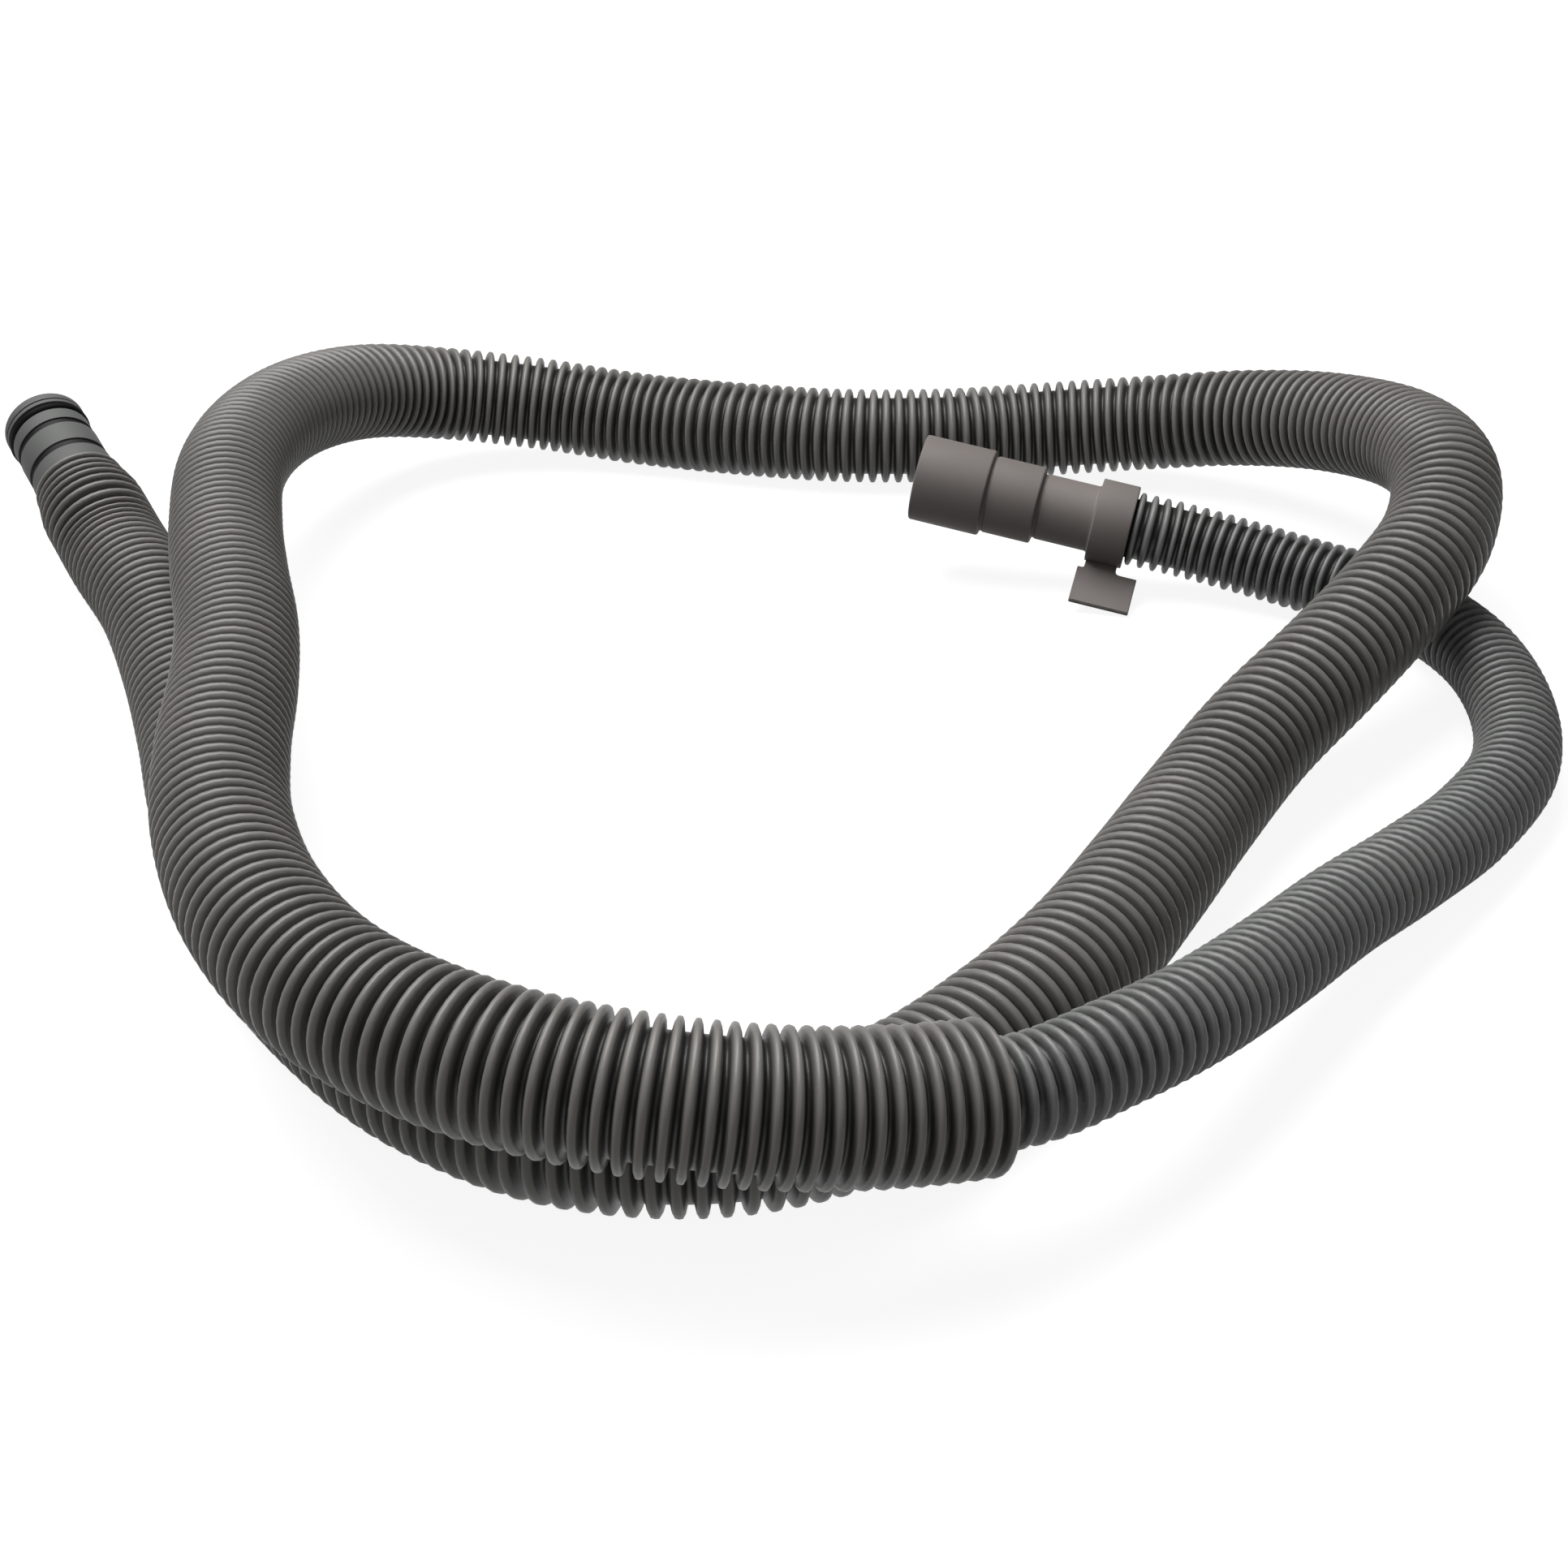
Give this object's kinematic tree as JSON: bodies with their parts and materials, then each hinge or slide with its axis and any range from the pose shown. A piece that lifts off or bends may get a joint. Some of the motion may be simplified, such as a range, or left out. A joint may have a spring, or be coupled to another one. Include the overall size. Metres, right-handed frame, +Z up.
{
  "type": "dishwasher drain hose",
  "caption": "Corrugated drain hose in a wider corrugated sheath, with an O-ring nozzle at one end and a stepped rubber cuff with a tag at the other, laid in a loose loop",
  "frame": {"origin": "Under the middle of the whole laid-down hose, on the surface that it lies on", "axes": "+Z up, +X to the right and +Y to the back as the picture shows the loop, with the nozzle at the left and the open end of the sheath at the front right"},
  "size_m": [0.4758, 0.4596, 0.0652],
  "materials": {
    "sheath_plastic": "satin",
    "hose_plastic": "satin",
    "nozzle_plastic": "satin",
    "seal_rubber": "satin",
    "cuff_rubber": "matt"
  },
  "bodies": {
    "root": {"outer_sheath": "sheath_plastic", "inner_hose": "hose_plastic", "inlet_nozzle": "nozzle_plastic", "inlet_o_ring": "seal_rubber", "disposer_cuff": "cuff_rubber"}
  },
  "joints": []
}
